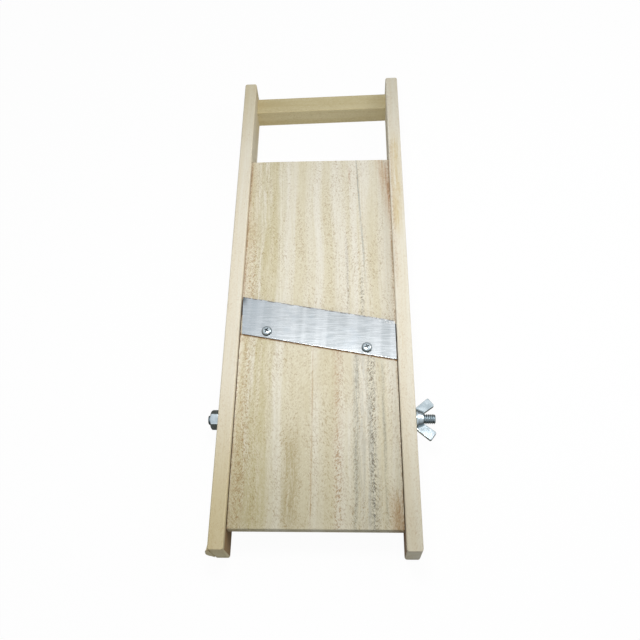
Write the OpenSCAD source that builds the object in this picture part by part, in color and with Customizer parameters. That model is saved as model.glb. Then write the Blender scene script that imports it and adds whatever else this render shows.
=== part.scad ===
// Plantain grater of the old wooden kind. Two rails carry a fixed feed board, a tilting exit board
// with a slanted steel blade, and a bar to hold it by. A threaded rod with a wing nut squeezes the
// rails on the exit board, and so sets how thick the slices are.
// +X is the wing nut's side, +Y the handle's end and +Z up. The rails rest on z = 0, and the origin
// is under the middle of the whole object.

/* [Rails] */
// Width over the outer faces of the two rails
overall_w = 125; // [110:1:140]
// Thickness of each rail
rail_t = 9.5; // [8:0.5:12]
// Height of each rail
rail_h = 27.5; // [26:0.5:34]
// Length of the left rail
left_rail_len = 372; // [360:1:400]
// Length of the right rail
right_rail_len = 373.5; // [360:0.5:400]
// Radius of the eased long edges of the rails and the bar
eased_r = 0.9; // [0.4:0.1:1.5]
// Radius of the rounded corners at the ends of the rails
rail_corner_r = 1.6; // [0.5:0.1:3]

/* [Handle bar] */
// Depth of the bar along the rails
bar_d = 15.5; // [12:0.5:18]
// Height of the bar, whose underside is flush with the rails
bar_h = 15.5; // [12:0.5:20]
// From the handle end of the left rail to the bar
bar_setback = 5; // [2:0.5:12]
// How much further out the right end of the bar sits
bar_askew = 1; // [0:0.25:2]

/* [Boards] */
// Thickness of the feed board and the exit board
board_t = 9; // [8.5:0.5:11]
// Depth of the feed board's face below the rails
feed_drop = 6.6; // [5.6:0.2:7.2]
// Depth of the exit board's face below the rails
exit_drop = 4.4; // [3.6:0.2:5]
// From the near end of the rails to the far end of the feed board
feed_far_y = 294.2; // [280:0.2:305]
// How much shorter the feed board is at its right edge
feed_askew = 1.5; // [0:0.25:3]
// From the near end of the rails to the exit board
exit_near_y = 12.5; // [8:0.5:20]
// Play between the exit board and each rail
exit_side_gap = 0.5; // [0.3:0.1:1]
// Width of the throat between the boards, along the rails
throat_w = 13; // [12:0.5:14]
// Radius of the worn lower edge at the near end of the exit board
worn_r = 2; // [1:0.25:3]
// Radius of the eased upper edges of the boards
board_eased_r = 0.6; // [0.3:0.1:1]

/* [Blade] */
// Width of the steel strip, square to its edges
blade_w = 28; // [26:0.5:30]
// Thickness of the strip
blade_t = 1.2; // [1:0.1:1.6]
// Slant of the strip against a line square to the rails, in degrees
blade_slant = 11; // [9:0.5:12]
// From the near end of the rails to the middle of the cutting edge
blade_edge_y = 160.3; // [155:0.1:165]
// Length of the ground bevel under the cutting edge
bevel_len = 2.6; // [2:0.1:4]
// Flat left at the cutting edge by wear
edge_land = 0.15; // [0.1:0.05:0.3]
// Play between the strip and each rail
blade_side_gap = 0.8; // [0.6:0.1:1.2]
// How much more play the left end has at its near corner
blade_end_askew = 0.9; // [0:0.1:1.5]
// How far the feed board reaches under the cutting edge
feed_overlap = 0.5; // [0.2:0.1:1]

/* [Blade screws] */
// Distance between the two screws
screw_pitch = 68.5; // [60:0.5:76]
// How far along the strip the pair's middle lies to the right of the cutting edge's middle
screw_shift = 3.8; // [0:0.1:5]
// Distance of the screws from the near edge of the strip
screw_inset = 4.7; // [4.5:0.1:6]
// Diameter of a screw's head
screw_head_d = 7; // [6:0.1:7.5]
// Height of a screw's head
screw_head_h = 2.3; // [2:0.1:2.6]
// Diameter of a screw's shank
screw_d = 3.4; // [3:0.1:3.8]
// Length of a screw under its head
screw_len = 8; // [6:0.5:8.5]

/* [Clamp] */
// Diameter of the threaded rod
rod_d = 6.35; // [6:0.05:6.4]
// From the near end of the rails to the rod
rod_y = 82.2; // [76:0.1:90]
// How far the rod stands out of the left rail
rod_left_out = 7.3; // [7:0.1:9]
// How far the rod stands out of the right rail
rod_right_out = 12.5; // [12:0.1:15]
// Play round the rod in its holes, all round
rod_play = 0.08; // [0.05:0.01:0.1]
// Width of the hexagon nut across its flats
nut_af = 11.1; // [10.5:0.1:11.5]
// Thickness of the hexagon nut
nut_h = 5.6; // [5:0.1:6]
// Turn of the hexagon nut about the rod, in degrees
nut_turn = 13.5; // [0:0.5:60]

/* [Wing nut] */
// Diameter of the hub where it bears on the rail
hub_base_d = 12.6; // [12:0.1:13]
// Diameter of the hub at its outer face
hub_top_d = 9.6; // [9:0.1:10.5]
// Height of the hub
hub_h = 5.4; // [5:0.1:6]
// Span over both wings
wing_span = 27.8; // [26:0.1:29]
// Height of the wings' tips above the rail
wing_h = 12.4; // [11:0.1:12.5]
// Breadth of a wing at its tip
wing_breadth = 6.2; // [5.5:0.1:7]
// Angle between a wing and the rod, in degrees
wing_sweep = 36.5; // [33:0.5:40]
// Thickness of a wing at the hub
wing_root_t = 2.8; // [2.4:0.1:3.2]
// Thickness of a wing at its tip
wing_tip_t = 1.8; // [1.5:0.1:2.2]

/* [Nails] */
// Diameter of a nail
nail_d = 1.8; // [1.5:0.1:2.2]
// Diameter of a nail's head
nail_head_d = 4; // [3.5:0.1:4.5]
// Thickness of a nail's head
nail_head_h = 0.9; // [0.7:0.1:1.2]
// Length of a nail
nail_len = 30; // [25:1:32]

/* [Hidden] */

$fn = 64;
wood_rail = "#e6dcc0";
wood_board = "#d9cba4";
wood_bar = "#c8b88a";
steel = "#c3cacd";
zinc = "#a9b4ba";

// Places shared by several pieces, all from the middle of the resting plane
frame_x = (rod_left_out - rod_right_out) / 2;
near_y = -max(left_rail_len, right_rail_len) / 2;
inner_w = overall_w - 2 * rail_t;
inner_left = frame_x - inner_w / 2;
inner_right = frame_x + inner_w / 2;
outer_left = frame_x - overall_w / 2;
outer_right = frame_x + overall_w / 2;
feed_top = rail_h - feed_drop;
exit_top = rail_h - exit_drop;
rod_z = exit_top - board_t / 2;
rod_at = [frame_x, near_y + rod_y, rod_z];
bar_far_y = near_y + left_rail_len - bar_setback;
bar_mid = [frame_x, bar_far_y - bar_d / 2 + bar_askew / 2, 0];
bar_turn = atan(bar_askew / inner_w);
slope = tan(blade_slant);
edge_mid = [frame_x, near_y + blade_edge_y, exit_top];
hole_r = rod_d / 2 + rod_play;
nut_bore_r = rod_d / 2 + 0.05;
pilot_r = screw_d / 2 + 0.02;
nail_hole_r = nail_d / 2 + 0.02;
nail_seat_r = nail_head_d / 2 + 0.05;
nail_seat_h = nail_head_h + 0.1;
overcut = 1;
long = 600;

// Nails: a pair in each end of the bar, one above the other, and a pair in each edge of the feed board
bar_nail_rows = [bar_h * 0.28, bar_h * 0.72];
feed_nail_ys = [near_y + feed_far_y - 90, near_y + feed_far_y - 20];
feed_nail_z = feed_top - board_t / 2;

// Height along the rails of the cutting edge at a place across them
function edge_y(x) = edge_mid[1] - slope * (x - frame_x);
// Points of a round stretch about a centre, from one angle to another
function arc(c, r, a0, a1, n) = [for (i = [0:n]) c + r * [cos(a0 + (a1 - a0) * i / n), sin(a0 + (a1 - a0) * i / n)]];

// A rectangle with round corners, from its lowest corner
module round_rect(w, h, r) {
    translate([r, 0]) square([w - 2 * r, h]);
    translate([0, r]) square([w, h - 2 * r]);
    for (x = [r, w - r]) {
        for (y = [r, h - r]) {
            translate([x, y]) circle(r);
        }
    }
}

// A straight bore along X
module bore_x(r, from_x, to_x) {
    translate([from_x, 0, 0]) rotate([0, 90, 0]) cylinder(r = r, h = to_x - from_x);
}

// The nail places of one rail, each given to the nail or the hole that is its child
module at_nails(which) {
    if (which != "feed") {
        for (z = bar_nail_rows) {
            translate([0, bar_mid[1], z]) children();
        }
    }
    if (which != "bar") {
        for (y = feed_nail_ys) {
            translate([0, y, feed_nail_z]) children();
        }
    }
}

// A nail's hole with the seat of its head, from the outer face at x = 0 inwards along +X
module nail_hole() {
    bore_x(nail_hole_r, -overcut, nail_len + 1);
    bore_x(nail_seat_r, -overcut, nail_seat_h);
}

// One rail, with its outer face at x = 0 and its inner face at x = rail_t
module rail(len) {
    difference() {
        intersection() {
            translate([0, len, 0]) rotate([90, 0, 0]) linear_extrude(len) round_rect(rail_t, rail_h, eased_r);
            linear_extrude(rail_h) round_rect(rail_t, len, rail_corner_r);
        }
        translate([0, rod_y, rod_z]) bore_x(hole_r, -overcut, rail_t + overcut);
        translate([0, -near_y, 0]) at_nails("both") nail_hole();
    }
}

module left_rail() {
    color(wood_rail) translate([outer_left, near_y, 0]) rail(left_rail_len);
}

module right_rail() {
    color(wood_rail) translate([outer_right, near_y, 0]) mirror([1, 0, 0]) rail(right_rail_len);
}

module handle_bar() {
    color(wood_bar) difference() {
        intersection() {
            translate(bar_mid) rotate([0, 0, bar_turn]) translate([-overall_w / 2, -bar_d / 2, 0])
                rotate([90, 0, 90]) linear_extrude(overall_w) round_rect(bar_d, bar_h, eased_r);
            translate([inner_left, bar_mid[1] - bar_d, 0]) cube([inner_w, 2 * bar_d, bar_h]);
        }
        translate([outer_left, 0, 0]) at_nails("bar") nail_hole();
        translate([outer_right, 0, 0]) mirror([1, 0, 0]) at_nails("bar") nail_hole();
    }
}

// The space that a board fills, seen from the side: eased upper edges and, where asked, a worn lower one
module board_side(y0, y1, top, worn) {
    translate([-long / 2, 0, 0]) rotate([90, 0, 90]) linear_extrude(long) polygon(concat(
        arc([y1 - board_eased_r, top - board_eased_r], board_eased_r, 0, 90, 8),
        arc([y0 + board_eased_r, top - board_eased_r], board_eased_r, 90, 180, 8),
        worn > 0 ? arc([y0 + worn, top - board_t + worn], worn, 180, 270, 10) : [[y0, top - board_t]],
        [[y1, top - board_t]]
    ));
}

module feed_board() {
    far_left = near_y + feed_far_y;
    color(wood_board) difference() {
        intersection() {
            linear_extrude(rail_h) polygon([
                [inner_left, edge_y(inner_left) - feed_overlap],
                [inner_right, edge_y(inner_right) - feed_overlap],
                [inner_right, far_left - feed_askew],
                [inner_left, far_left]
            ]);
            board_side(near_y + rod_y, far_left, feed_top, 0);
        }
        translate([outer_left, 0, 0]) at_nails("feed") nail_hole();
        translate([outer_right, 0, 0]) mirror([1, 0, 0]) at_nails("feed") nail_hole();
    }
}

module exit_board() {
    left = inner_left + exit_side_gap;
    right = inner_right - exit_side_gap;
    near = near_y + exit_near_y;
    back = feed_overlap + throat_w;
    color(wood_board) difference() {
        intersection() {
            linear_extrude(rail_h) polygon([
                [left, near],
                [right, near],
                [right, edge_y(right) - back],
                [left, edge_y(left) - back]
            ]);
            board_side(near, edge_y(left), exit_top, worn_r);
        }
        translate(rod_at) bore_x(hole_r, -overall_w / 2, overall_w / 2);
        at_blade_screws() translate([0, 0, -screw_len]) cylinder(r = pilot_r, h = screw_len + overcut);
    }
}

// The strip lies on the exit board: its edge at y = 0 here, its body towards -Y and its underside at z = 0
module on_blade() {
    translate(edge_mid) rotate([0, 0, -blade_slant]) children();
}

// The tops of the two screw holes, on the strip's upper face
module at_blade_screws() {
    for (side = [-1, 1]) {
        on_blade() translate([side * screw_pitch / 2 + screw_shift, screw_inset - blade_w, blade_t]) children();
    }
}

module blade() {
    left = inner_left + blade_side_gap;
    right = inner_right - blade_side_gap;
    reach = blade_w * 2;
    color(steel) difference() {
        intersection() {
            on_blade() translate([-overall_w / 2, 0, 0]) rotate([90, 0, 90]) linear_extrude(overall_w) polygon([
                [-blade_w, 0],
                [-bevel_len, 0],
                [0, blade_t - edge_land],
                [0, blade_t],
                [-blade_w, blade_t]
            ]);
            linear_extrude(2 * rail_h) polygon([
                [left, edge_mid[1] + reach],
                [left, edge_y(left)],
                [left + blade_end_askew, edge_y(left) - blade_w],
                [left + blade_end_askew, edge_mid[1] - reach],
                [right, edge_mid[1] - reach],
                [right, edge_mid[1] + reach]
            ]);
        }
        at_blade_screws() translate([0, 0, -overcut - blade_t]) cylinder(r = pilot_r + 0.2, h = blade_t + 2 * overcut);
    }
}

// A pan head over a tapered shank, with the underside of the head at z = 0
module pan_screw() {
    r = screw_head_d / 2;
    s = screw_d / 2;
    rotate_extrude() polygon(concat(
        [[0, screw_head_h], [r * 0.35, screw_head_h]],
        arc([r * 0.35, screw_head_h - r * 0.65], r * 0.65, 80, 12, 8),
        [[r, 0.25], [r, 0], [s, 0], [s, -screw_len * 0.62], [0, -screw_len]]
    ));
}

module blade_screws() {
    color(zinc) at_blade_screws() pan_screw();
}

module clamp_rod() {
    r = rod_d / 2;
    x0 = -overall_w / 2 - rod_left_out;
    x1 = overall_w / 2 + rod_right_out;
    tip = 0.9;
    color(zinc) translate(rod_at) rotate([0, 90, 0]) rotate_extrude() polygon([
        [0, x0],
        [r - tip, x0],
        [r, x0 + tip],
        [r, x1 - tip],
        [r - tip, x1],
        [0, x1]
    ]);
}

// A hexagon nut along X with both faces chamfered, bearing on x = 0 and reaching to x = -nut_h
module hex_nut() {
    corner_r = nut_af / 2 / cos(30);
    chamfer = 0.6;
    color(zinc) translate([outer_left, rod_at[1], rod_z]) rotate([0, -90, 0]) difference() {
        intersection() {
            rotate([0, 0, nut_turn]) cylinder(r = corner_r, h = nut_h, $fn = 6);
            rotate_extrude() polygon([
                [0, 0],
                [corner_r - chamfer * 1.7, 0],
                [corner_r, chamfer],
                [corner_r, nut_h - chamfer],
                [corner_r - chamfer * 1.7, nut_h],
                [0, nut_h]
            ]);
        }
        translate([0, 0, -overcut]) cylinder(r = nut_bore_r, h = nut_h + 2 * overcut);
    }
}

// Half of the wings' outline in the plane of the rod, x out from the rail and y away from the rod
function wing_outline() =
    let (
        corner = 1.1,
        along = [cos(wing_sweep), sin(wing_sweep)],
        across = [sin(wing_sweep), -cos(wing_sweep)],
        outer = [wing_h - wing_breadth * across[0], wing_span / 2],
        inner = outer + wing_breadth * across
    ) concat(
        [[0.3, 0], [0.3, hub_base_d * 0.55]],
        arc(outer + corner * (across - along), corner, wing_sweep + 90, wing_sweep, 8),
        arc(inner - corner * (across + along), corner, wing_sweep, wing_sweep - 90, 8),
        [[hub_h + 0.5, hub_top_d * 0.42], [hub_h, hub_top_d * 0.36], [hub_h, 0]]
    );

module wing_nut() {
    color(zinc) translate([outer_right, rod_at[1], rod_z]) difference() {
        union() {
            rotate([0, 90, 0]) rotate_extrude() polygon([
                [0, 0],
                [hub_base_d / 2 - 0.4, 0],
                [hub_base_d / 2, 0.4],
                [hub_base_d / 2, 1.3],
                [hub_top_d / 2, hub_h - 0.6],
                [hub_top_d / 2 - 0.6, hub_h],
                [0, hub_h]
            ]);
            intersection() {
                translate([0, 0, -rod_d]) linear_extrude(2 * rod_d) {
                    polygon(wing_outline());
                    mirror([0, 1]) polygon(wing_outline());
                }
                rotate([90, 0, 90]) linear_extrude(2 * wing_h) polygon([
                    [-wing_span, -wing_tip_t / 2],
                    [0, -wing_root_t / 2],
                    [wing_span, -wing_tip_t / 2],
                    [wing_span, wing_tip_t / 2],
                    [0, wing_root_t / 2],
                    [-wing_span, wing_tip_t / 2]
                ]);
            }
        }
        bore_x(nut_bore_r, -overcut, wing_h + overcut);
    }
}

// A wire nail along +X with its flat head just under the face at x = 0
module nail() {
    r = nail_d / 2;
    head_r = nail_head_d / 2;
    point = 3;
    translate([0.05, 0, 0]) rotate([0, 90, 0]) rotate_extrude() polygon([
        [0, 0],
        [head_r, 0],
        [head_r, nail_head_h],
        [r, nail_head_h],
        [r, nail_len - point],
        [0, nail_len]
    ]);
}

module bar_nails() {
    color(zinc) translate([outer_left, 0, 0]) at_nails("bar") nail();
    color(zinc) translate([outer_right, 0, 0]) mirror([1, 0, 0]) at_nails("bar") nail();
}

module feed_board_nails() {
    color(zinc) translate([outer_left, 0, 0]) at_nails("feed") nail();
    color(zinc) translate([outer_right, 0, 0]) mirror([1, 0, 0]) at_nails("feed") nail();
}

left_rail();
right_rail();
handle_bar();
feed_board();
exit_board();
blade();
blade_screws();
clamp_rod();
hex_nut();
wing_nut();
bar_nails();
feed_board_nails();
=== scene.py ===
"""Looks of a wooden plantain grater: pale raw wood, a bright steel blade and zinc plated clamp hardware."""
import math

import bmesh
import bpy
from mathutils import Matrix, Vector, noise


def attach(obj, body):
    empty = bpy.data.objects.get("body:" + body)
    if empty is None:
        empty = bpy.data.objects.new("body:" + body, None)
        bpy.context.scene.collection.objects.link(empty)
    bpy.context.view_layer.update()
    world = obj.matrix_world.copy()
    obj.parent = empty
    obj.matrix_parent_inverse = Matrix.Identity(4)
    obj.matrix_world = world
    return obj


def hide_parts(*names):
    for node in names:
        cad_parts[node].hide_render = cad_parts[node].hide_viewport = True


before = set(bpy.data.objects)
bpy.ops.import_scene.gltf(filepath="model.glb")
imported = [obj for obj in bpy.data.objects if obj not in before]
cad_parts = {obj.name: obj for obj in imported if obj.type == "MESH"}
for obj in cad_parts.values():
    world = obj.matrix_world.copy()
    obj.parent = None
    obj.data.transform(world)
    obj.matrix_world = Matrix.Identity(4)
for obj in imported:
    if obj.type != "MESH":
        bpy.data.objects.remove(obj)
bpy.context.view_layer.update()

MM = 0.001

# Places of the solids, in millimetres, as the part's source has them
FRAME_X = -2.6
NEAR_Y = -186.75
INNER_W = 106.0
RAIL_T = 9.5
EXIT_TOP = 23.1
FEED_TOP = 20.9
BLADE_SLANT = math.radians(11)
BLADE_W = 28.0
BLADE_T = 1.2
EDGE_MID = Vector((FRAME_X, NEAR_Y + 160.3, EXIT_TOP))
BEVEL = 2.6
ROD_AXIS = Vector((0, NEAR_Y + 82.2, 18.6))
ROD_R = 3.175
THREAD_PITCH = 1.27
OUTER_LEFT = FRAME_X - INNER_W / 2 - RAIL_T
OUTER_RIGHT = FRAME_X + INNER_W / 2 + RAIL_T
ROD_ENDS = (OUTER_LEFT - 7.3, OUTER_RIGHT + 12.5)


def linear(red, green, blue):
    """A colour as screens show it, from 0 to 255, turned into the colour that shaders take."""
    return tuple((c / 255 / 12.92) if c < 11 else ((c / 255 + 0.055) / 1.055) ** 2.4 for c in (red, green, blue)) + (1.0,)


class Signal:
    """An output socket of a finish, which takes part in sums and products like a number."""

    def __init__(self, finish, socket):
        self.finish = finish
        self.socket = socket

    def maths(self, operation, first, second):
        return self.finish.node("ShaderNodeMath", {"operation": operation}, {0: first, 1: second})

    def __add__(self, other):
        return self.maths("ADD", self, other)

    __radd__ = __add__

    def __sub__(self, other):
        return self.maths("SUBTRACT", self, other)

    def __rsub__(self, other):
        return self.maths("SUBTRACT", other, self)

    def __mul__(self, other):
        return self.maths("MULTIPLY", self, other)

    __rmul__ = __mul__

    def __truediv__(self, other):
        return self.maths("DIVIDE", self, other)

    def __pow__(self, other):
        return self.maths("POWER", self, other)


class Finish:
    """A material in the making, or the world, with its nodes and the shader that they feed."""

    def __init__(self, name, owners=bpy.data.materials):
        self.material = owners.new(name)
        self.material.use_nodes = True
        self.tree = self.material.node_tree
        self.tree.nodes.clear()

    def rays(self):
        """1 where a camera ray looks, 1 where a glossy ray looks, and 1 where a ray through glass looks."""
        path = self.tree.nodes.new("ShaderNodeLightPath")
        return [Signal(self, path.outputs[kind + " Ray"]) for kind in ("Is Camera", "Is Glossy", "Is Transmission")]

    def node(self, kind, settings=None, sockets=None, out=0):
        """Adds a node: its settings first, then a value or a signal for each socket."""
        made = self.tree.nodes.new(kind)
        for key, value in (settings or {}).items():
            if key == "stops":
                self.set_stops(made.color_ramp, value)
            else:
                setattr(made, key, value)
        for key, value in (sockets or {}).items():
            if isinstance(value, Signal):
                self.tree.links.new(value.socket, made.inputs[key])
            else:
                made.inputs[key].default_value = value
        return Signal(self, made.outputs[out]) if len(made.outputs) else None

    @staticmethod
    def set_stops(ramp, stops):
        while len(ramp.elements) < len(stops):
            ramp.elements.new(1.0)
        for element, (position, colour) in zip(ramp.elements, stops):
            element.position = position
            element.color = colour

    def place(self):
        """The surface's place on the object, in millimetres."""
        here = self.node("ShaderNodeTexCoord", out="Object")
        return self.node("ShaderNodeVectorMath", {"operation": "SCALE"}, {0: here, "Scale": 1 / MM})

    def parts(self, vector):
        """The three numbers of a vector."""
        split = self.tree.nodes.new("ShaderNodeSeparateXYZ")
        self.tree.links.new(vector.socket, split.inputs[0])
        return [Signal(self, socket) for socket in split.outputs]

    def vector(self, x, y, z):
        return self.node("ShaderNodeCombineXYZ", sockets={0: x, 1: y, 2: z})

    def stretched(self, vector, x, y, z):
        return self.node("ShaderNodeVectorMath", {"operation": "MULTIPLY"}, {0: vector, 1: (x, y, z)})

    def noise(self, vector, seed=0.0, scale=1.0, detail=2.0, roughness=0.5, distortion=0.0):
        """Even noise from 0 to 1 round 0.5."""
        return self.node("ShaderNodeTexNoise", {"noise_dimensions": "4D"}, {
            "Vector": vector, "W": seed, "Scale": scale, "Detail": detail, "Roughness": roughness,
            "Distortion": distortion})

    def rise(self, value, low, high, floor=0.0, top=1.0):
        """A smooth step from floor to top while value goes from low to high."""
        return self.node("ShaderNodeMapRange", {"interpolation_type": "SMOOTHSTEP", "clamp": True}, {
            "Value": value, "From Min": low, "From Max": high, "To Min": floor, "To Max": top})

    def bump_round(self, value, middle, half_width):
        """1 where value is in the middle, and 0 from half_width away."""
        away = self.node("ShaderNodeMath", {"operation": "ABSOLUTE"}, {0: value - middle})
        return self.rise(away, half_width, 0.0)

    def mix(self, amount, first, second, blend="MIX"):
        """Colour first turned into second by amount."""
        return self.node("ShaderNodeMix", {"data_type": "RGBA", "blend_type": blend, "clamp_factor": True},
                         {0: amount, 6: first, 7: second}, out=2)

    def surface(self, colour, roughness, height, depth, strength=1.0, metallic=0.0, specular=0.5):
        """Ends the finish: the shader with its colour, roughness and the relief that height gives it."""
        normal = self.node("ShaderNodeBump", sockets={"Strength": strength, "Distance": depth, "Height": height})
        shader = self.node("ShaderNodeBsdfPrincipled", sockets={
            "Base Color": colour, "Roughness": roughness, "Normal": normal, "Metallic": metallic,
            "Specular IOR Level": specular})
        self.node("ShaderNodeOutputMaterial", sockets={"Surface": shader})
        return self.material


def wood(name, grain, tones, seed, ripple=0.5, ends=None, zones=(), edge_darkening=False):
    """Raw wood. grain is the axis that the fibres run along, and tones are its pale, warm, deep and fleck colours.

    ripple is how strong the short slanting flecks are, which lean one way in one strip and the other way in the next,
    and how strong the painted sheen between them is.
    ends is the tint of a painted shade that darkens both ends, where the light falls off. Each zone is a strip along
    the grain with a tint of its own.
    """
    f = Finish(name)
    x, y, z = f.parts(f.place())
    across, along = (x, y) if grain == "Y" else (y, x)
    lie = f.vector(across, along, z)
    wander = (f.noise(f.stretched(lie, 0.02, 0.009, 0.02), seed, detail=1.0) - 0.5) * 12
    curl = (f.noise(f.stretched(lie, 0.3, 0.13, 0.3), seed + 3, detail=2.0) - 0.5) * 1.6
    lines = f.vector(across + wander + curl, along, z)

    bands = f.noise(f.stretched(lines, 0.1, 0.0014, 0.1), seed + 5, detail=4.0, roughness=0.6)
    patches = f.noise(f.stretched(lines, 0.05, 0.008, 0.05), seed + 7, detail=2.0)
    fibres = f.noise(f.stretched(lines, 1.5, 0.035, 1.5), seed + 9, detail=3.0, roughness=0.6)
    fine = f.noise(f.stretched(lines, 3.4, 0.2, 3.4), seed + 10, detail=2.0)
    ragged = f.noise(f.stretched(lines, 0.5, 0.03, 0.5), seed + 11, detail=4.0, roughness=0.7)
    leaning_left, leaning_right = (
        f.noise(f.stretched(f.vector(across + curl * 0.4 + along * lean, along - across * lean, z), 1.25, 0.6, 1.25),
                seed + 12 + lean, detail=2.0, roughness=0.65, distortion=0.8) for lean in (0.55, -0.55))
    strip = f.rise(f.noise(f.stretched(lines, 0.14, 0.02, 0.14), seed + 14, detail=1.0), 0.46, 0.54)
    ripples = leaning_left + strip * (leaning_right - leaning_left)
    crowd = f.rise(f.noise(f.stretched(lines, 0.13, 0.02, 0.13), seed + 16, detail=2.0), 0.34, 0.62, 0.3, 1.0)
    flecks = f.rise(ripples, 0.48, 0.7)

    pale, warm, deep, fleck = tones
    colour = f.mix(f.rise(bands, 0.38, 0.62), pale, warm)
    colour = f.mix(f.rise(patches, 0.5, 0.72) * 0.5, colour, deep)
    for middle, lean, half_width, low, high, tint, amount, flecked in zones:
        ramp = min(25.0, (high - low) * 0.35)
        reach = f.rise(along, low, low + ramp) * f.rise(along, high, high - ramp)
        broken = f.rise(ragged, 0.34, 0.6) * (1 - flecked) + f.rise(ripples, 0.46, 0.6) * flecked
        inside = f.bump_round(across + curl * 0.5 - along * lean, middle, half_width)
        colour = f.mix(inside * reach * broken * amount, colour, tint)
    colour = f.mix(f.rise(fibres, 0.45, 0.75) * 0.3, colour, deep)
    colour = f.mix(flecks * crowd * ripple, colour, fleck)
    # Pale streaks between the slanting flecks: a painted sheen on the ripple figure.
    colour = f.mix(f.rise(ripples, 0.46, 0.34) * 0.35 * ripple, colour, linear(244, 240, 226))
    if edge_darkening:
        # Darker brown along the boards' edges beside the rails, broken up by the grain.
        rim = f.node("ShaderNodeMath", {"operation": "ABSOLUTE"}, {0: x - FRAME_X})
        rim_darkening = f.rise(rim, INNER_W / 2 - 1.8, INNER_W / 2 - 0.3) * f.rise(ragged + ripples, 0.85, 1.15)
        # Painted shadow: a dark line on the board just under the blade's near edge.
        blade_edge_shadow = f.bump_round(blade_inward(x, y), BLADE_W + 0.3, 0.9) * f.rise(z, FEED_TOP, FEED_TOP + 1)
        colour = f.mix(rim_darkening * 0.7 + blade_edge_shadow * f.rise(ragged, 0.3, 0.5), colour, linear(150, 112, 70))
    if name in ("left_rail_wood", "right_rail_wood"):
        # Painted shade on the rails' inner faces, down in the gap beside the exit board.
        rim = f.node("ShaderNodeMath", {"operation": "ABSOLUTE"}, {0: x - FRAME_X})
        rail_gap_shade = f.rise(rim, INNER_W / 2 + 0.3, INNER_W / 2 + 0.1) * f.rise(z, EXIT_TOP + 1, EXIT_TOP - 0.5)
        colour = f.mix(rail_gap_shade * f.rise(y, 108, 104) * 0.7, colour, linear(150, 104, 64))
    # Painted shade: darker and yellower towards both ends, where the light falls off.
    if ends:
        end_falloff_shade = f.rise(along, -70, -175) + f.rise(along, 95, 185, 0.0, 0.6)
        colour = f.mix(end_falloff_shade, colour, ends, "MULTIPLY")
    height = fine * 0.2 + fibres * 0.35 - flecks * 0.35
    return f.surface(colour, f.rise(fibres, 0.3, 0.7, 0.58, 0.74), height, 0.00018, 0.5, specular=0.3)


def blade_inward(x, y):
    """How far a place lies inside the blade's cutting edge, square to that edge."""
    return (EDGE_MID.y - y) * math.cos(BLADE_SLANT) - (x - EDGE_MID.x) * math.sin(BLADE_SLANT)


def steel_sheet(name):
    """Bright steel sheet with fine scratches and faint bands across it, painted shade on its side faces and towards its
    left end, and a darker cutting edge.
    """
    f = Finish(name)
    where = f.place()
    x, y, z = f.parts(where)
    inward = blade_inward(x, y)
    scratches = f.noise(f.stretched(where, 0.09, 3.2, 1.0), 1.0, detail=4.0, roughness=0.7)
    hairs = f.noise(f.stretched(where, 0.2, 6.5, 1.0), 2.0, detail=2.0, roughness=0.6)
    cloud = f.noise(f.stretched(where, 0.12, 0.12, 0.1), 3.0, detail=3.0)
    waves = f.noise(f.stretched(f.vector(x + inward * 0.05, y, z), 0.16, 0.004, 0.1), 4.0, detail=1.0)
    colour = f.mix(f.rise(waves, 0.38, 0.62), linear(184, 189, 191), linear(203, 207, 209))
    colour = f.mix(f.rise(scratches, 0.4, 0.66) * 0.45, colour, linear(236, 240, 243))
    colour = f.mix(f.rise(hairs, 0.52, 0.72) * 0.4, colour, linear(172, 182, 190))
    colour = f.mix(f.rise(cloud, 0.5, 0.75) * 0.35, colour, linear(182, 192, 200))
    left_shade = f.rise(x, -20, -56, 0.0, 0.5)
    colour = f.mix(left_shade, colour, linear(166, 176, 184))
    # Painted shade: darker at the blade's left end near the cutting edge, beside the left rail.
    corner = f.rise(x, -50.5, -55, 0.0, 1.0) * f.rise(inward, 9, 1, 0.0, 1.0)
    colour = f.mix(corner * 0.9, colour, linear(80, 88, 92))
    # Painted shade: the plate's side faces and underside are dark brown, with less metal to them.
    side_face_shade = f.rise(z, EXIT_TOP + 1.17, EXIT_TOP + 1.05)
    colour = f.mix(side_face_shade * 0.9, colour, linear(86, 68, 50))
    # Darker brown along the cutting edge, broken up by noise.
    edge_breakup = f.noise(f.stretched(where, 0.35, 0.6, 0.5), 5.0, detail=3.0, roughness=0.7)
    edge = f.rise(inward, 1.1, 0.3) * f.rise(edge_breakup, 0.44, 0.56)
    colour = f.mix(edge * 0.85, colour, linear(96, 78, 62))
    chips = f.rise(x, 32, 48) * f.rise(inward, 4.5, 0.5) * f.rise(f.noise(where, 6.0, scale=1.1), 0.52, 0.6)
    colour = f.mix(chips, colour, linear(250, 248, 244))
    roughness = f.rise(scratches, 0.3, 0.7, 0.2, 0.3)
    height = scratches * 0.6 + hairs * 0.4
    return f.surface(colour, roughness, height, 0.00003, 0.25, f.rise(side_face_shade + edge, 0.0, 1.0, 1.0, 0.3))


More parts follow.
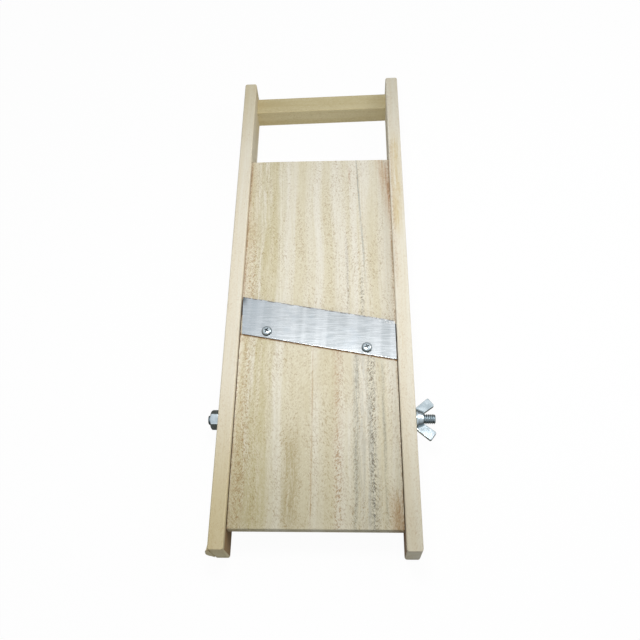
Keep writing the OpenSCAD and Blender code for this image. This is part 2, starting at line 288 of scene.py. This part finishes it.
def zinc(name, threads=False, shaded_below=None):
    """Bright zinc plating, bluish, a little cloudy. threads darkens the roots of the rod's thread.

    Under the height given for a screw, its recess and rim are painted dark: painted shade in the recess and a painted
    dark reflection on the rim.
    """
    f = Finish(name)
    where = f.place()
    x, y, z = f.parts(where)
    cloud = f.noise(where, 1.0, scale=0.3, detail=2.0)
    specks = f.noise(where, 2.0, scale=2.6, detail=2.0)
    colour = f.mix(f.rise(cloud, 0.35, 0.68), linear(182, 195, 201), linear(200, 211, 216))
    colour = f.mix(f.rise(specks, 0.6, 0.75) * 0.3, colour, linear(150, 158, 160))
    if threads:
        off_y = y - ROD_AXIS.y
        off_z = z - ROD_AXIS.z
        reach = (off_y * off_y + off_z * off_z) ** 0.5
        colour = f.mix(f.rise(reach, ROD_R - 0.2, ROD_R - 0.8) * 0.45, colour, linear(70, 76, 78))
    if shaded_below:
        # Painted shade in the screws' recesses and a painted dark reflection on their rims.
        colour = f.mix(f.rise(z, shaded_below, shaded_below - 0.5) * 0.8, colour, linear(66, 72, 74))
    return f.surface(colour, f.rise(cloud, 0.3, 0.7, 0.17, 0.24), specks, 0.00003, 0.15, 1.0)


def mesh_piece(name, points, faces, body, material, replaced=(), smooth_angle=30):
    """A piece from points in millimetres, which rides on a body and stands for the solids named."""
    mesh = bpy.data.meshes.new(name)
    mesh.from_pydata([Vector(p) * MM for p in points], [], faces)
    return dress(name, mesh, body, material, replaced, smooth_angle)


def dress(name, mesh, body, material, replaced=(), smooth_angle=30):
    """Puts a mesh into the scene as a piece with its finish and its shading."""
    tidy = bmesh.new()
    tidy.from_mesh(mesh)
    bmesh.ops.remove_doubles(tidy, verts=tidy.verts, dist=0.002 * MM)
    bmesh.ops.recalc_face_normals(tidy, faces=tidy.faces)
    tidy.to_mesh(mesh)
    tidy.free()
    mesh.shade_smooth()
    mesh.set_sharp_from_angle(angle=math.radians(smooth_angle))
    mesh.materials.clear()
    mesh.materials.append(material)
    piece = bpy.data.objects.new(name, mesh)
    bpy.context.scene.collection.objects.link(piece)
    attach(piece, body)
    if replaced:
        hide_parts(*replaced)
    return piece


def applied(piece):
    """Bakes a piece's modifiers into its mesh."""
    bpy.context.view_layer.update()
    graph = bpy.context.evaluated_depsgraph_get()
    mesh = bpy.data.meshes.new_from_object(piece.evaluated_get(graph))
    piece.modifiers.clear()
    piece.data = mesh
    return mesh


def loose(name, points, faces):
    """A mesh object that isn't a piece yet, in millimetres."""
    mesh = bpy.data.meshes.new(name)
    mesh.from_pydata([tuple(p) for p in points], [], faces)
    made = bpy.data.objects.new(name, mesh)
    bpy.context.scene.collection.objects.link(made)
    return made


def discard(*objects):
    for o in objects:
        bpy.data.objects.remove(o)


def turned(profile, segments):
    """Points and faces of a profile of (radius, height) turned round Z, closed where the radius is 0."""
    points, faces = [], []
    for i in range(segments):
        angle = 2 * math.pi * i / segments
        points += [(r * math.cos(angle), r * math.sin(angle), h) for r, h in profile]
    n = len(profile)
    for i in range(segments):
        a, b = i * n, (i + 1) % segments * n
        faces += [(a + j, b + j, b + j + 1, a + j + 1) for j in range(n - 1)]
    return points, faces


def onto_x(points, x, flip=False):
    """Turns points about Z into points about the rod's axis, with height along +X, or -X with flip."""
    way = -1 if flip else 1
    return [Vector((x + way * h, ROD_AXIS.y + way * a, ROD_AXIS.z + b)) for a, b, h in points]


def threaded_rod():
    """The clamp rod with its whole thread, cut off with chamfered and slightly domed ends."""
    start, end = ROD_ENDS
    length = end - start
    around, rows_per_turn = 32, 6
    depth = 0.72
    rows = int((length / THREAD_PITCH + 1) * rows_per_turn) + 1
    cut = (0.0, 0.5, 1.0, 1.0, 0.5, 0.0)
    end_r = ROD_R - 0.5

    def ring_radius(row, place):
        full = ROD_R - depth * cut[row % rows_per_turn]
        return min(full, end_r + max(0.0, min(place, length - place)) * 1.1)

    points, faces = [], []
    for i in range(around):
        angle = 2 * math.pi * i / around
        for row in range(rows + 1):
            place = (row / rows_per_turn + i / around - 1) * THREAD_PITCH
            place = min(max(place, 0.0), length)
            r = ring_radius(row, place)
            points.append((r * math.cos(angle), r * math.sin(angle), place))
    n = rows + 1
    for i in range(around):
        for row in range(rows):
            a = i * n + row
            if i < around - 1:
                faces.append((a, a + n, a + n + 1, a + 1))
            elif row + 1 + rows_per_turn <= rows:
                b = row + rows_per_turn
                faces.append((a, b, b + 1, a + 1))
    for place, bulge in ((0.0, -0.2), (length, 0.2)):
        first = len(points)
        for r, h in ((end_r, 0.0), (end_r * 0.7, 0.6), (end_r * 0.35, 0.9)):
            points += [(r * math.cos(2 * math.pi * i / around), r * math.sin(2 * math.pi * i / around),
                        place + bulge * h) for i in range(around)]
        points.append((0, 0, place + bulge))
        for ring in range(2):
            a, b = first + ring * around, first + (ring + 1) * around
            faces += [(a + i, a + (i + 1) % around, b + (i + 1) % around, b + i) for i in range(around)]
        a, tip = first + 2 * around, len(points) - 1
        faces += [(a + i, a + (i + 1) % around, tip) for i in range(around)]
    faces = [f for f in faces if len(set(f)) == len(f)]
    placed = [Vector((start + h, ROD_AXIS.y + a, ROD_AXIS.z + b)) for a, b, h in points]
    return mesh_piece("clamp_rod_thread", placed, faces, "frame", ZINC_ROD, ["clamp_rod"])


def hexagon_nut():
    """The nut on the left end, with chamfered corners on both faces and a countersunk bore."""
    flat, height, turn = 11.1 / 2, 5.6, math.radians(13.5)
    corner = flat / math.cos(math.pi / 6)
    around = 96
    chamfer = [(0.0, flat - 0.25), (0.12, flat + 0.02), (0.3, flat + 0.28), (0.5, flat + 0.5), (0.75, corner + 0.1)]
    rings = [(0.5, ROD_R + 0.06, False), (0.0, ROD_R + 0.6, False)]
    rings += [(h, r, True) for h, r in chamfer]
    rings += [(height / 2, corner + 1, True)]
    rings += [(height - h, r, True) for h, r in reversed(chamfer)]
    rings += [(height, ROD_R + 0.6, False), (height - 0.5, ROD_R + 0.06, False)]
    points, faces = [], []
    for i in range(around):
        angle = 2 * math.pi * i / around
        hexagon = flat / math.cos((angle % (math.pi / 3)) - math.pi / 6)
        for h, r, cut in rings:
            r = min(r, hexagon) if cut else r
            points.append((r * math.cos(angle + turn), r * math.sin(angle + turn), h))
    n = len(rings)
    for i in range(around):
        a, b = i * n, (i + 1) % around * n
        faces += [(a + j, b + j, b + (j + 1) % n, a + (j + 1) % n) for j in range(n)]
    placed = [Vector((OUTER_LEFT - h, ROD_AXIS.y + a, ROD_AXIS.z + b)) for a, b, h in points]
    return mesh_piece("hexagon_nut", placed, faces, "frame", ZINC, ["hex_nut"], 25)


def wing_nut():
    """The wing nut as a casting: hub and wings grown into each other, with rounded edges."""
    hub_profile = [(0, 0), (5.9, 0), (6.3, 0.4), (6.3, 1.4), (5.9, 2.2), (5.1, 4.4), (4.7, 5.1), (4.2, 5.45), (0, 5.45)]
    hub = loose("hub", *turned(hub_profile, 64))
    pieces = [hub]
    sweep, breadth = math.radians(36.5), 6.4
    way = Vector((math.cos(sweep), math.sin(sweep)))
    side = Vector((math.sin(sweep), -math.cos(sweep)))
    for sign, tip_x, tip_y in ((1, 12.45, 13.9), (-1, 12.8, 14.3)):
        outer = Vector((tip_x - breadth * side.x, tip_y))
        inner = outer + breadth * side
        outline = [Vector((0.35, 2.0)), Vector((0.35, 7.0)), outer - 0.9 * way, outer - 0.25 * way + 0.2 * side,
                   outer + 0.9 * side, inner - 0.9 * side, inner - 0.25 * way - 0.2 * side, inner - 0.9 * way,
                   Vector((5.5, 3.7)), Vector((4.6, 2.0))]
        points = []
        for half in (1, -1):
            for p in outline:
                thick = 1.6 - 0.3 * min(1.0, p.y / tip_y)
                lean = 0.035 * p.y if sign < 0 else 0.02 * p.y
                points.append((half * thick + lean, sign * p.y, p.x))
        n = len(outline)
        faces = [tuple(range(n)), tuple(range(2 * n - 1, n - 1, -1))]
        faces += [(i, (i + 1) % n, (i + 1) % n + n, i + n) for i in range(n)]
        pieces.append(loose("wing", points, faces))
    for o in pieces:
        shape = bmesh.new()
        shape.from_mesh(o.data)
        bmesh.ops.remove_doubles(shape, verts=shape.verts, dist=0.001)
        bmesh.ops.recalc_face_normals(shape, faces=shape.faces)
        shape.to_mesh(o.data)
        shape.free()
    for wing in pieces[1:]:
        joined = hub.modifiers.new("join", "BOOLEAN")
        joined.operation = "UNION"
        joined.solver = "EXACT"
        joined.object = wing
    remeshed = hub.modifiers.new("remesh", "REMESH")
    remeshed.mode = "VOXEL"
    remeshed.voxel_size = 0.18
    smoothed = hub.modifiers.new("smooth", "SMOOTH")
    smoothed.factor = 0.5
    smoothed.iterations = 2
    mesh = applied(hub)
    placed = onto_x([(v.co.y, -v.co.x, v.co.z) for v in mesh.vertices], OUTER_RIGHT)
    # The wings lie in the plane of X and Y, and their thickness is along Z
    faces = [tuple(p.vertices) for p in mesh.polygons]
    discard(*pieces)
    return mesh_piece("wing_nut_casting", placed, faces, "wing_nut", ZINC, ["wing_nut"], 60)


def blade_point(along, inward, up):
    """A place on the blade: along its cutting edge from the middle, inward from that edge, up from the board."""
    x = EDGE_MID.x + along * math.cos(BLADE_SLANT) - inward * math.sin(BLADE_SLANT)
    y = EDGE_MID.y - along * math.sin(BLADE_SLANT) - inward * math.cos(BLADE_SLANT)
    return Vector((x, y, EDGE_MID.z + up))


def blade_plate():
    """The blade as a strip with a nicked cutting edge, worn corners and slightly rounded near edge."""
    left, right = FRAME_X - INNER_W / 2 + 0.8, FRAME_X + INNER_W / 2 - 0.8
    columns = 260
    top = [0.0, 0.35, 0.8, 1.6, 3.0, 6.0, 10.0, 14.0, 18.0, 22.0, 25.5, 27.2, 27.8, 27.9, 27.97]
    ring = [(t, BLADE_T - (0.0 if 0 < k < len(top) - 1 else 0.04), k == 0) for k, t in enumerate(top)]
    ring += [(BLADE_W, BLADE_T - 0.12, False), (BLADE_W, 0.15, False), (BLADE_W - 0.15, 0.0, False),
             (18.0, 0.0, False), (9.0, 0.0, False), (BEVEL, 0.0, False), (BEVEL / 2, (BLADE_T - 0.15) / 2, False),
             (0.0, BLADE_T - 0.2, True)]
    points, faces = [], []
    n = len(ring)
    for i in range(columns + 1):
        share = i / columns
        rough = noise.noise(Vector((share * 46, 3.1, 0))) * 0.5 + noise.noise(Vector((share * 150, 9.2, 0))) * 0.5
        nick = max(0.0, rough - 0.06) * 0.9 + (0.6 * max(0.0, share - 0.985) / 0.015)
        nick += 0.3 * max(0.0, 1 - abs(share - 0.33) / 0.03)
        for inward, up, cutting in ring:
            low = (left + 0.9 * inward / BLADE_W - EDGE_MID.x + inward * math.sin(BLADE_SLANT)) / math.cos(BLADE_SLANT)
            high = (right - EDGE_MID.x + inward * math.sin(BLADE_SLANT)) / math.cos(BLADE_SLANT)
            along = low + (high - low) * share
            if inward < BEVEL:
                inward = inward + nick * (1 - inward / BEVEL)
            if cutting:
                up += 0.06 * noise.noise(Vector((share * 60, 20.5, 0)))
            points.append(blade_point(along, inward, up))
    for i in range(columns):
        a, b = i * n, (i + 1) * n
        faces += [(a + j, b + j, b + (j + 1) % n, a + (j + 1) % n) for j in range(n)]
    faces += [tuple(range(n)), tuple(range(columns * n + n - 1, columns * n - 1, -1))]
    plate = mesh_piece("blade_plate", points, faces, "tilting_board", STEEL, ["blade"], 35)
    return plate


SCREW_PITCH = 68.5
SCREW_SHIFT = 3.8
SCREW_INWARD = BLADE_W - 4.7


def pan_screws():
    """The blade screws: pan heads with cross recesses over their shanks."""
    points, faces = [], []
    for side, turn in ((-1, 62), (1, 18)):
        profile = [(0, -7.9), (1.62, -4.9), (1.66, -0.02), (3.2, 0.0), (3.5, 0.3), (3.42, 0.9), (3.1, 1.55),
                   (2.5, 2.05), (1.6, 2.28), (0, 2.32)]
        screw = loose("screw", *turned(profile, 48))
        cross = []
        for quarter in range(2):
            a, b = (0.4, 1.7) if quarter == 0 else (1.7, 0.4)
            low = [(sx * a * 0.6, sy * b * 0.45, 0.7) for sx, sy in ((-1, -1), (1, -1), (1, 1), (-1, 1))]
            high = [(sx * a, sy * b, 2.6) for sx, sy in ((-1, -1), (1, -1), (1, 1), (-1, 1))]
            quads = [(3, 2, 1, 0), (4, 5, 6, 7)] + [(i, (i + 1) % 4, (i + 1) % 4 + 4, i + 4) for i in range(4)]
            cross.append(loose("recess", low + high, quads))
        for o in [screw, *cross]:
            shape = bmesh.new()
            shape.from_mesh(o.data)
            bmesh.ops.remove_doubles(shape, verts=shape.verts, dist=0.001)
            bmesh.ops.recalc_face_normals(shape, faces=shape.faces)
            shape.to_mesh(o.data)
            shape.free()
        for o in cross:
            recess = screw.modifiers.new("recess", "BOOLEAN")
            recess.operation = "DIFFERENCE"
            recess.solver = "EXACT"
            recess.object = o
        mesh = applied(screw)
        centre = blade_point(side * SCREW_PITCH / 2 + SCREW_SHIFT, SCREW_INWARD, BLADE_T)
        spin = Matrix.Rotation(math.radians(turn), 4, "Z")
        first = len(points)
        points += [centre + spin @ v.co for v in mesh.vertices]
        faces += [tuple(first + k for k in p.vertices) for p in mesh.polygons]
        discard(screw, *cross)
    return mesh_piece("blade_screw_heads", points, faces, "tilting_board", ZINC_SCREW, ["blade_screws"], 28)


def rail_burr():
    """The torn flake of wood that the saw left on the near end of the left rail's outer face."""
    outline = [(0.6, 26.4), (-0.9, 25.6), (-2.2, 21.6), (-2.7, 18.5), (-3.0, 14.5), (-3.1, 11.2), (-2.2, 8.2),
               (-0.9, 5.6), (0.6, 3.6)]
    depths = [-0.25, 0.4, 1.3, 2.4, 3.6]
    points, faces = [], []
    for k, deep in enumerate(depths):
        shrink = 1 - (deep + 0.25) / 4.4
        for j, (out, up) in enumerate(outline):
            ragged = 0.3 * noise.noise(Vector((j * 1.7, k * 1.3, 0.5)))
            x = OUTER_LEFT + (out * shrink if out < 0 else out) + (ragged if 0 < j < len(outline) - 1 else 0)
            points.append((x, NEAR_Y + deep + 0.25 * noise.noise(Vector((j * 0.9, k, 7))), up))
    n = len(outline)
    for k in range(len(depths) - 1):
        faces += [(k * n + j, k * n + j + 1, (k + 1) * n + j + 1, (k + 1) * n + j) for j in range(n - 1)]
        faces.append((k * n, (k + 1) * n, (k + 1) * n + n - 1, k * n + n - 1))
    faces += [tuple(range(n)), tuple(range(len(points) - 1, len(points) - n - 1, -1))]
    return mesh_piece("rail_burr", points, faces, "frame", RAIL_WOOD["left_rail"], (), 40)


# Finishes
RAIL_TONES = (linear(234, 229, 213), linear(228, 219, 197), linear(213, 198, 164), linear(188, 156, 116))
# The last tint given to each rail is the painted shade of its ends, where the light falls off.
RAIL_WOOD = {
    "left_rail": wood("left_rail_wood", "Y", RAIL_TONES, 31.0, 0.3, (0.78, 0.73, 0.56, 1)),
    "right_rail": wood("right_rail_wood", "Y", RAIL_TONES, 47.0, 0.4, (0.78, 0.77, 0.72, 1), (
        (55.0, 0.0, 5.0, 25, 135, linear(204, 178, 112), 0.85, 0.2),
        (52.0, 0.0, 2.0, -20, 130, linear(176, 140, 92), 0.5, 0.6))),
}
BAR_WOOD = wood("bar_wood", "X", (linear(210, 198, 158), linear(200, 186, 142), linear(180, 162, 116),
                                  linear(158, 130, 88)), 63.0, 0.35)
# Strips of the plank that both boards were cut from: middle, lean, half width, from, to, tint, amount, flecked
BOARD_ZONES = (
    (-42.0, 0.0, 24.0, -190, 150, linear(190, 179, 128), 0.6, 0.1),
    (-50.0, 0.0, 7.0, -190, 60, linear(168, 128, 84), 0.55, 1.0),
    (-29.5, -0.03, 0.7, -190, 120, linear(240, 235, 218), 0.7, 0.0),
    (-18.0, 0.0, 9.0, -185, -105, linear(176, 160, 114), 0.7, 0.0),
    (-12.0, -0.1, 2.2, 0, 80, linear(176, 150, 112), 0.5, 1.0),
    (-5.4, 0.0, 0.8, -190, -45, linear(184, 150, 104), 0.6, 0.0),
    (11.0, 0.0, 5.0, -190, -30, linear(186, 142, 108), 0.55, 1.0),
    (30.0, 0.0, 13.0, -190, -30, linear(194, 192, 182), 0.7, 0.0),
    (30.6, -0.05, 1.1, -15, 130, linear(142, 150, 150), 0.7, 0.0),
    (18.0, -0.02, 1.8, -45, 45, linear(146, 138, 130), 0.6, 0.7),
    (28.0, 0.0, 2.5, -60, 15, linear(104, 104, 98), 0.8, 1.0),
    (24.8, 0.02, 3.0, -190, -40, linear(140, 146, 142), 0.75, 0.6),
    (32.8, 0.0, 4.0, -190, -40, linear(92, 98, 98), 0.85, 1.0),
    (40.3, 0.0, 1.8, -190, -50, linear(132, 134, 128), 0.65, 0.3),
    (20.0, 0.0, 1.4, 82, 102, linear(170, 118, 80), 0.7, 0.4),
    (57.8, -0.13, 7.0, 35, 125, linear(202, 164, 120), 0.7, 0.2),
    (53.6, -0.06, 1.6, 10, 112, linear(166, 108, 58), 0.75, 0.4),
    (47.0, 0.0, 8.0, -190, -145, linear(172, 130, 76), 0.8, 0.2),
)
# The tint after 0.7 is the painted shade of the boards' ends, where the light falls off.
BOARD_WOOD = wood("board_wood", "Y", (linear(233, 228, 213), linear(222, 214, 188), linear(202, 189, 150),
                                      linear(160, 130, 84)), 12.0, 0.7, (0.77, 0.76, 0.7, 1), BOARD_ZONES, True)
STEEL = steel_sheet("blade_sheet")
ZINC = zinc("zinc_plate")
ZINC_ROD = zinc("zinc_thread", True)
ZINC_SCREW = zinc("zinc_screw", shaded_below=EXIT_TOP + BLADE_T + 1.75)

for node, finish in (("left_rail", RAIL_WOOD["left_rail"]), ("right_rail", RAIL_WOOD["right_rail"]),
                     ("handle_bar", BAR_WOOD), ("feed_board", BOARD_WOOD), ("exit_board", BOARD_WOOD),
                     ("bar_nails", ZINC), ("feed_board_nails", ZINC)):
    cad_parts[node].data.materials.clear()
    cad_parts[node].data.materials.append(finish)

threaded_rod()
hexagon_nut()
wing_nut()
blade_plate()
pan_screws()
rail_burr()

# Floor
floor_mesh = bpy.data.meshes.new("floor")
floor_mesh.from_pydata([(-4, -4, 0), (4, -4, 0), (4, 4, 0), (-4, 4, 0)], [], [(0, 1, 2, 3)])
floor = bpy.data.objects.new("floor", floor_mesh)
floor.location.z = -0.0003
bpy.context.scene.collection.objects.link(floor)
paper = Finish("paper")
camera_ray, glossy_ray, clear_ray = paper.rays()
tone = paper.mix(glossy_ray, (0.72, 0.72, 0.72, 1), (0.15, 0.15, 0.13, 1))
matt = paper.node("ShaderNodeBsdfDiffuse", sockets={"Color": paper.mix(camera_ray, tone, (1, 1, 1, 1))})
white = paper.node("ShaderNodeEmission", sockets={"Color": (1, 1, 1, 1), "Strength": 1.0})
lit = paper.node("ShaderNodeMixShader", sockets={0: (camera_ray + clear_ray) * 0.96, 1: matt, 2: white})
paper.node("ShaderNodeOutputMaterial", sockets={"Surface": lit})
floor_mesh.materials.append(paper.material)

# World
studio = Finish("studio", bpy.data.worlds)
bpy.context.scene.world = studio.material
camera_ray, glossy_ray, clear_ray = studio.rays()
upward = studio.parts(studio.node("ShaderNodeTexCoord", out="Generated"))[2]
reflected = studio.rise(upward, 0.05, 0.75, 0.3, 0.95)
fill = studio.node("ShaderNodeBackground", sockets={
    "Color": (0.96, 0.98, 1.0, 1), "Strength": glossy_ray * reflected + (1 - glossy_ray) * 0.42})
backdrop = studio.node("ShaderNodeBackground", sockets={"Color": (1, 1, 1, 1), "Strength": 1.0})
around = studio.node("ShaderNodeMixShader", sockets={0: camera_ray + clear_ray, 1: fill, 2: backdrop})
studio.node("ShaderNodeOutputWorld", sockets={"Surface": around})


def lamp(name, place, target, size, power, colour=(1, 1, 1)):
    light = bpy.data.lights.new(name, "AREA")
    light.shape = "DISK"
    light.size = size
    light.energy = power
    light.color = colour
    made = bpy.data.objects.new(name, light)
    made.location = place
    made.rotation_euler = (Vector(target) - Vector(place)).to_track_quat("-Z", "Y").to_euler()
    bpy.context.scene.collection.objects.link(made)
    return made


lamp("overhead", (-0.01, -0.03, 0.37), (0, 0, 0), 0.13, 0.65)
lamp("side", (0.5, 0.05, 0.36), (0, 0, 0), 0.4, 0.95)

# Camera, where the photograph was taken from
camera_data = bpy.data.cameras.new("camera")
camera_data.sensor_width = 36.0
camera_data.lens = 40.034
camera_data.shift_x = 0.02603
camera_data.shift_y = -0.01376
camera_data.clip_start = 0.01
camera = bpy.data.objects.new("camera", camera_data)
camera.location = Vector((23.007, -262.243, 450.979)) * MM
camera.rotation_euler = [math.radians(a) for a in (28.74, 4.068, 1.251)]
bpy.context.scene.collection.objects.link(camera)
bpy.context.scene.camera = camera
bpy.context.scene.view_settings.view_transform = "Standard"
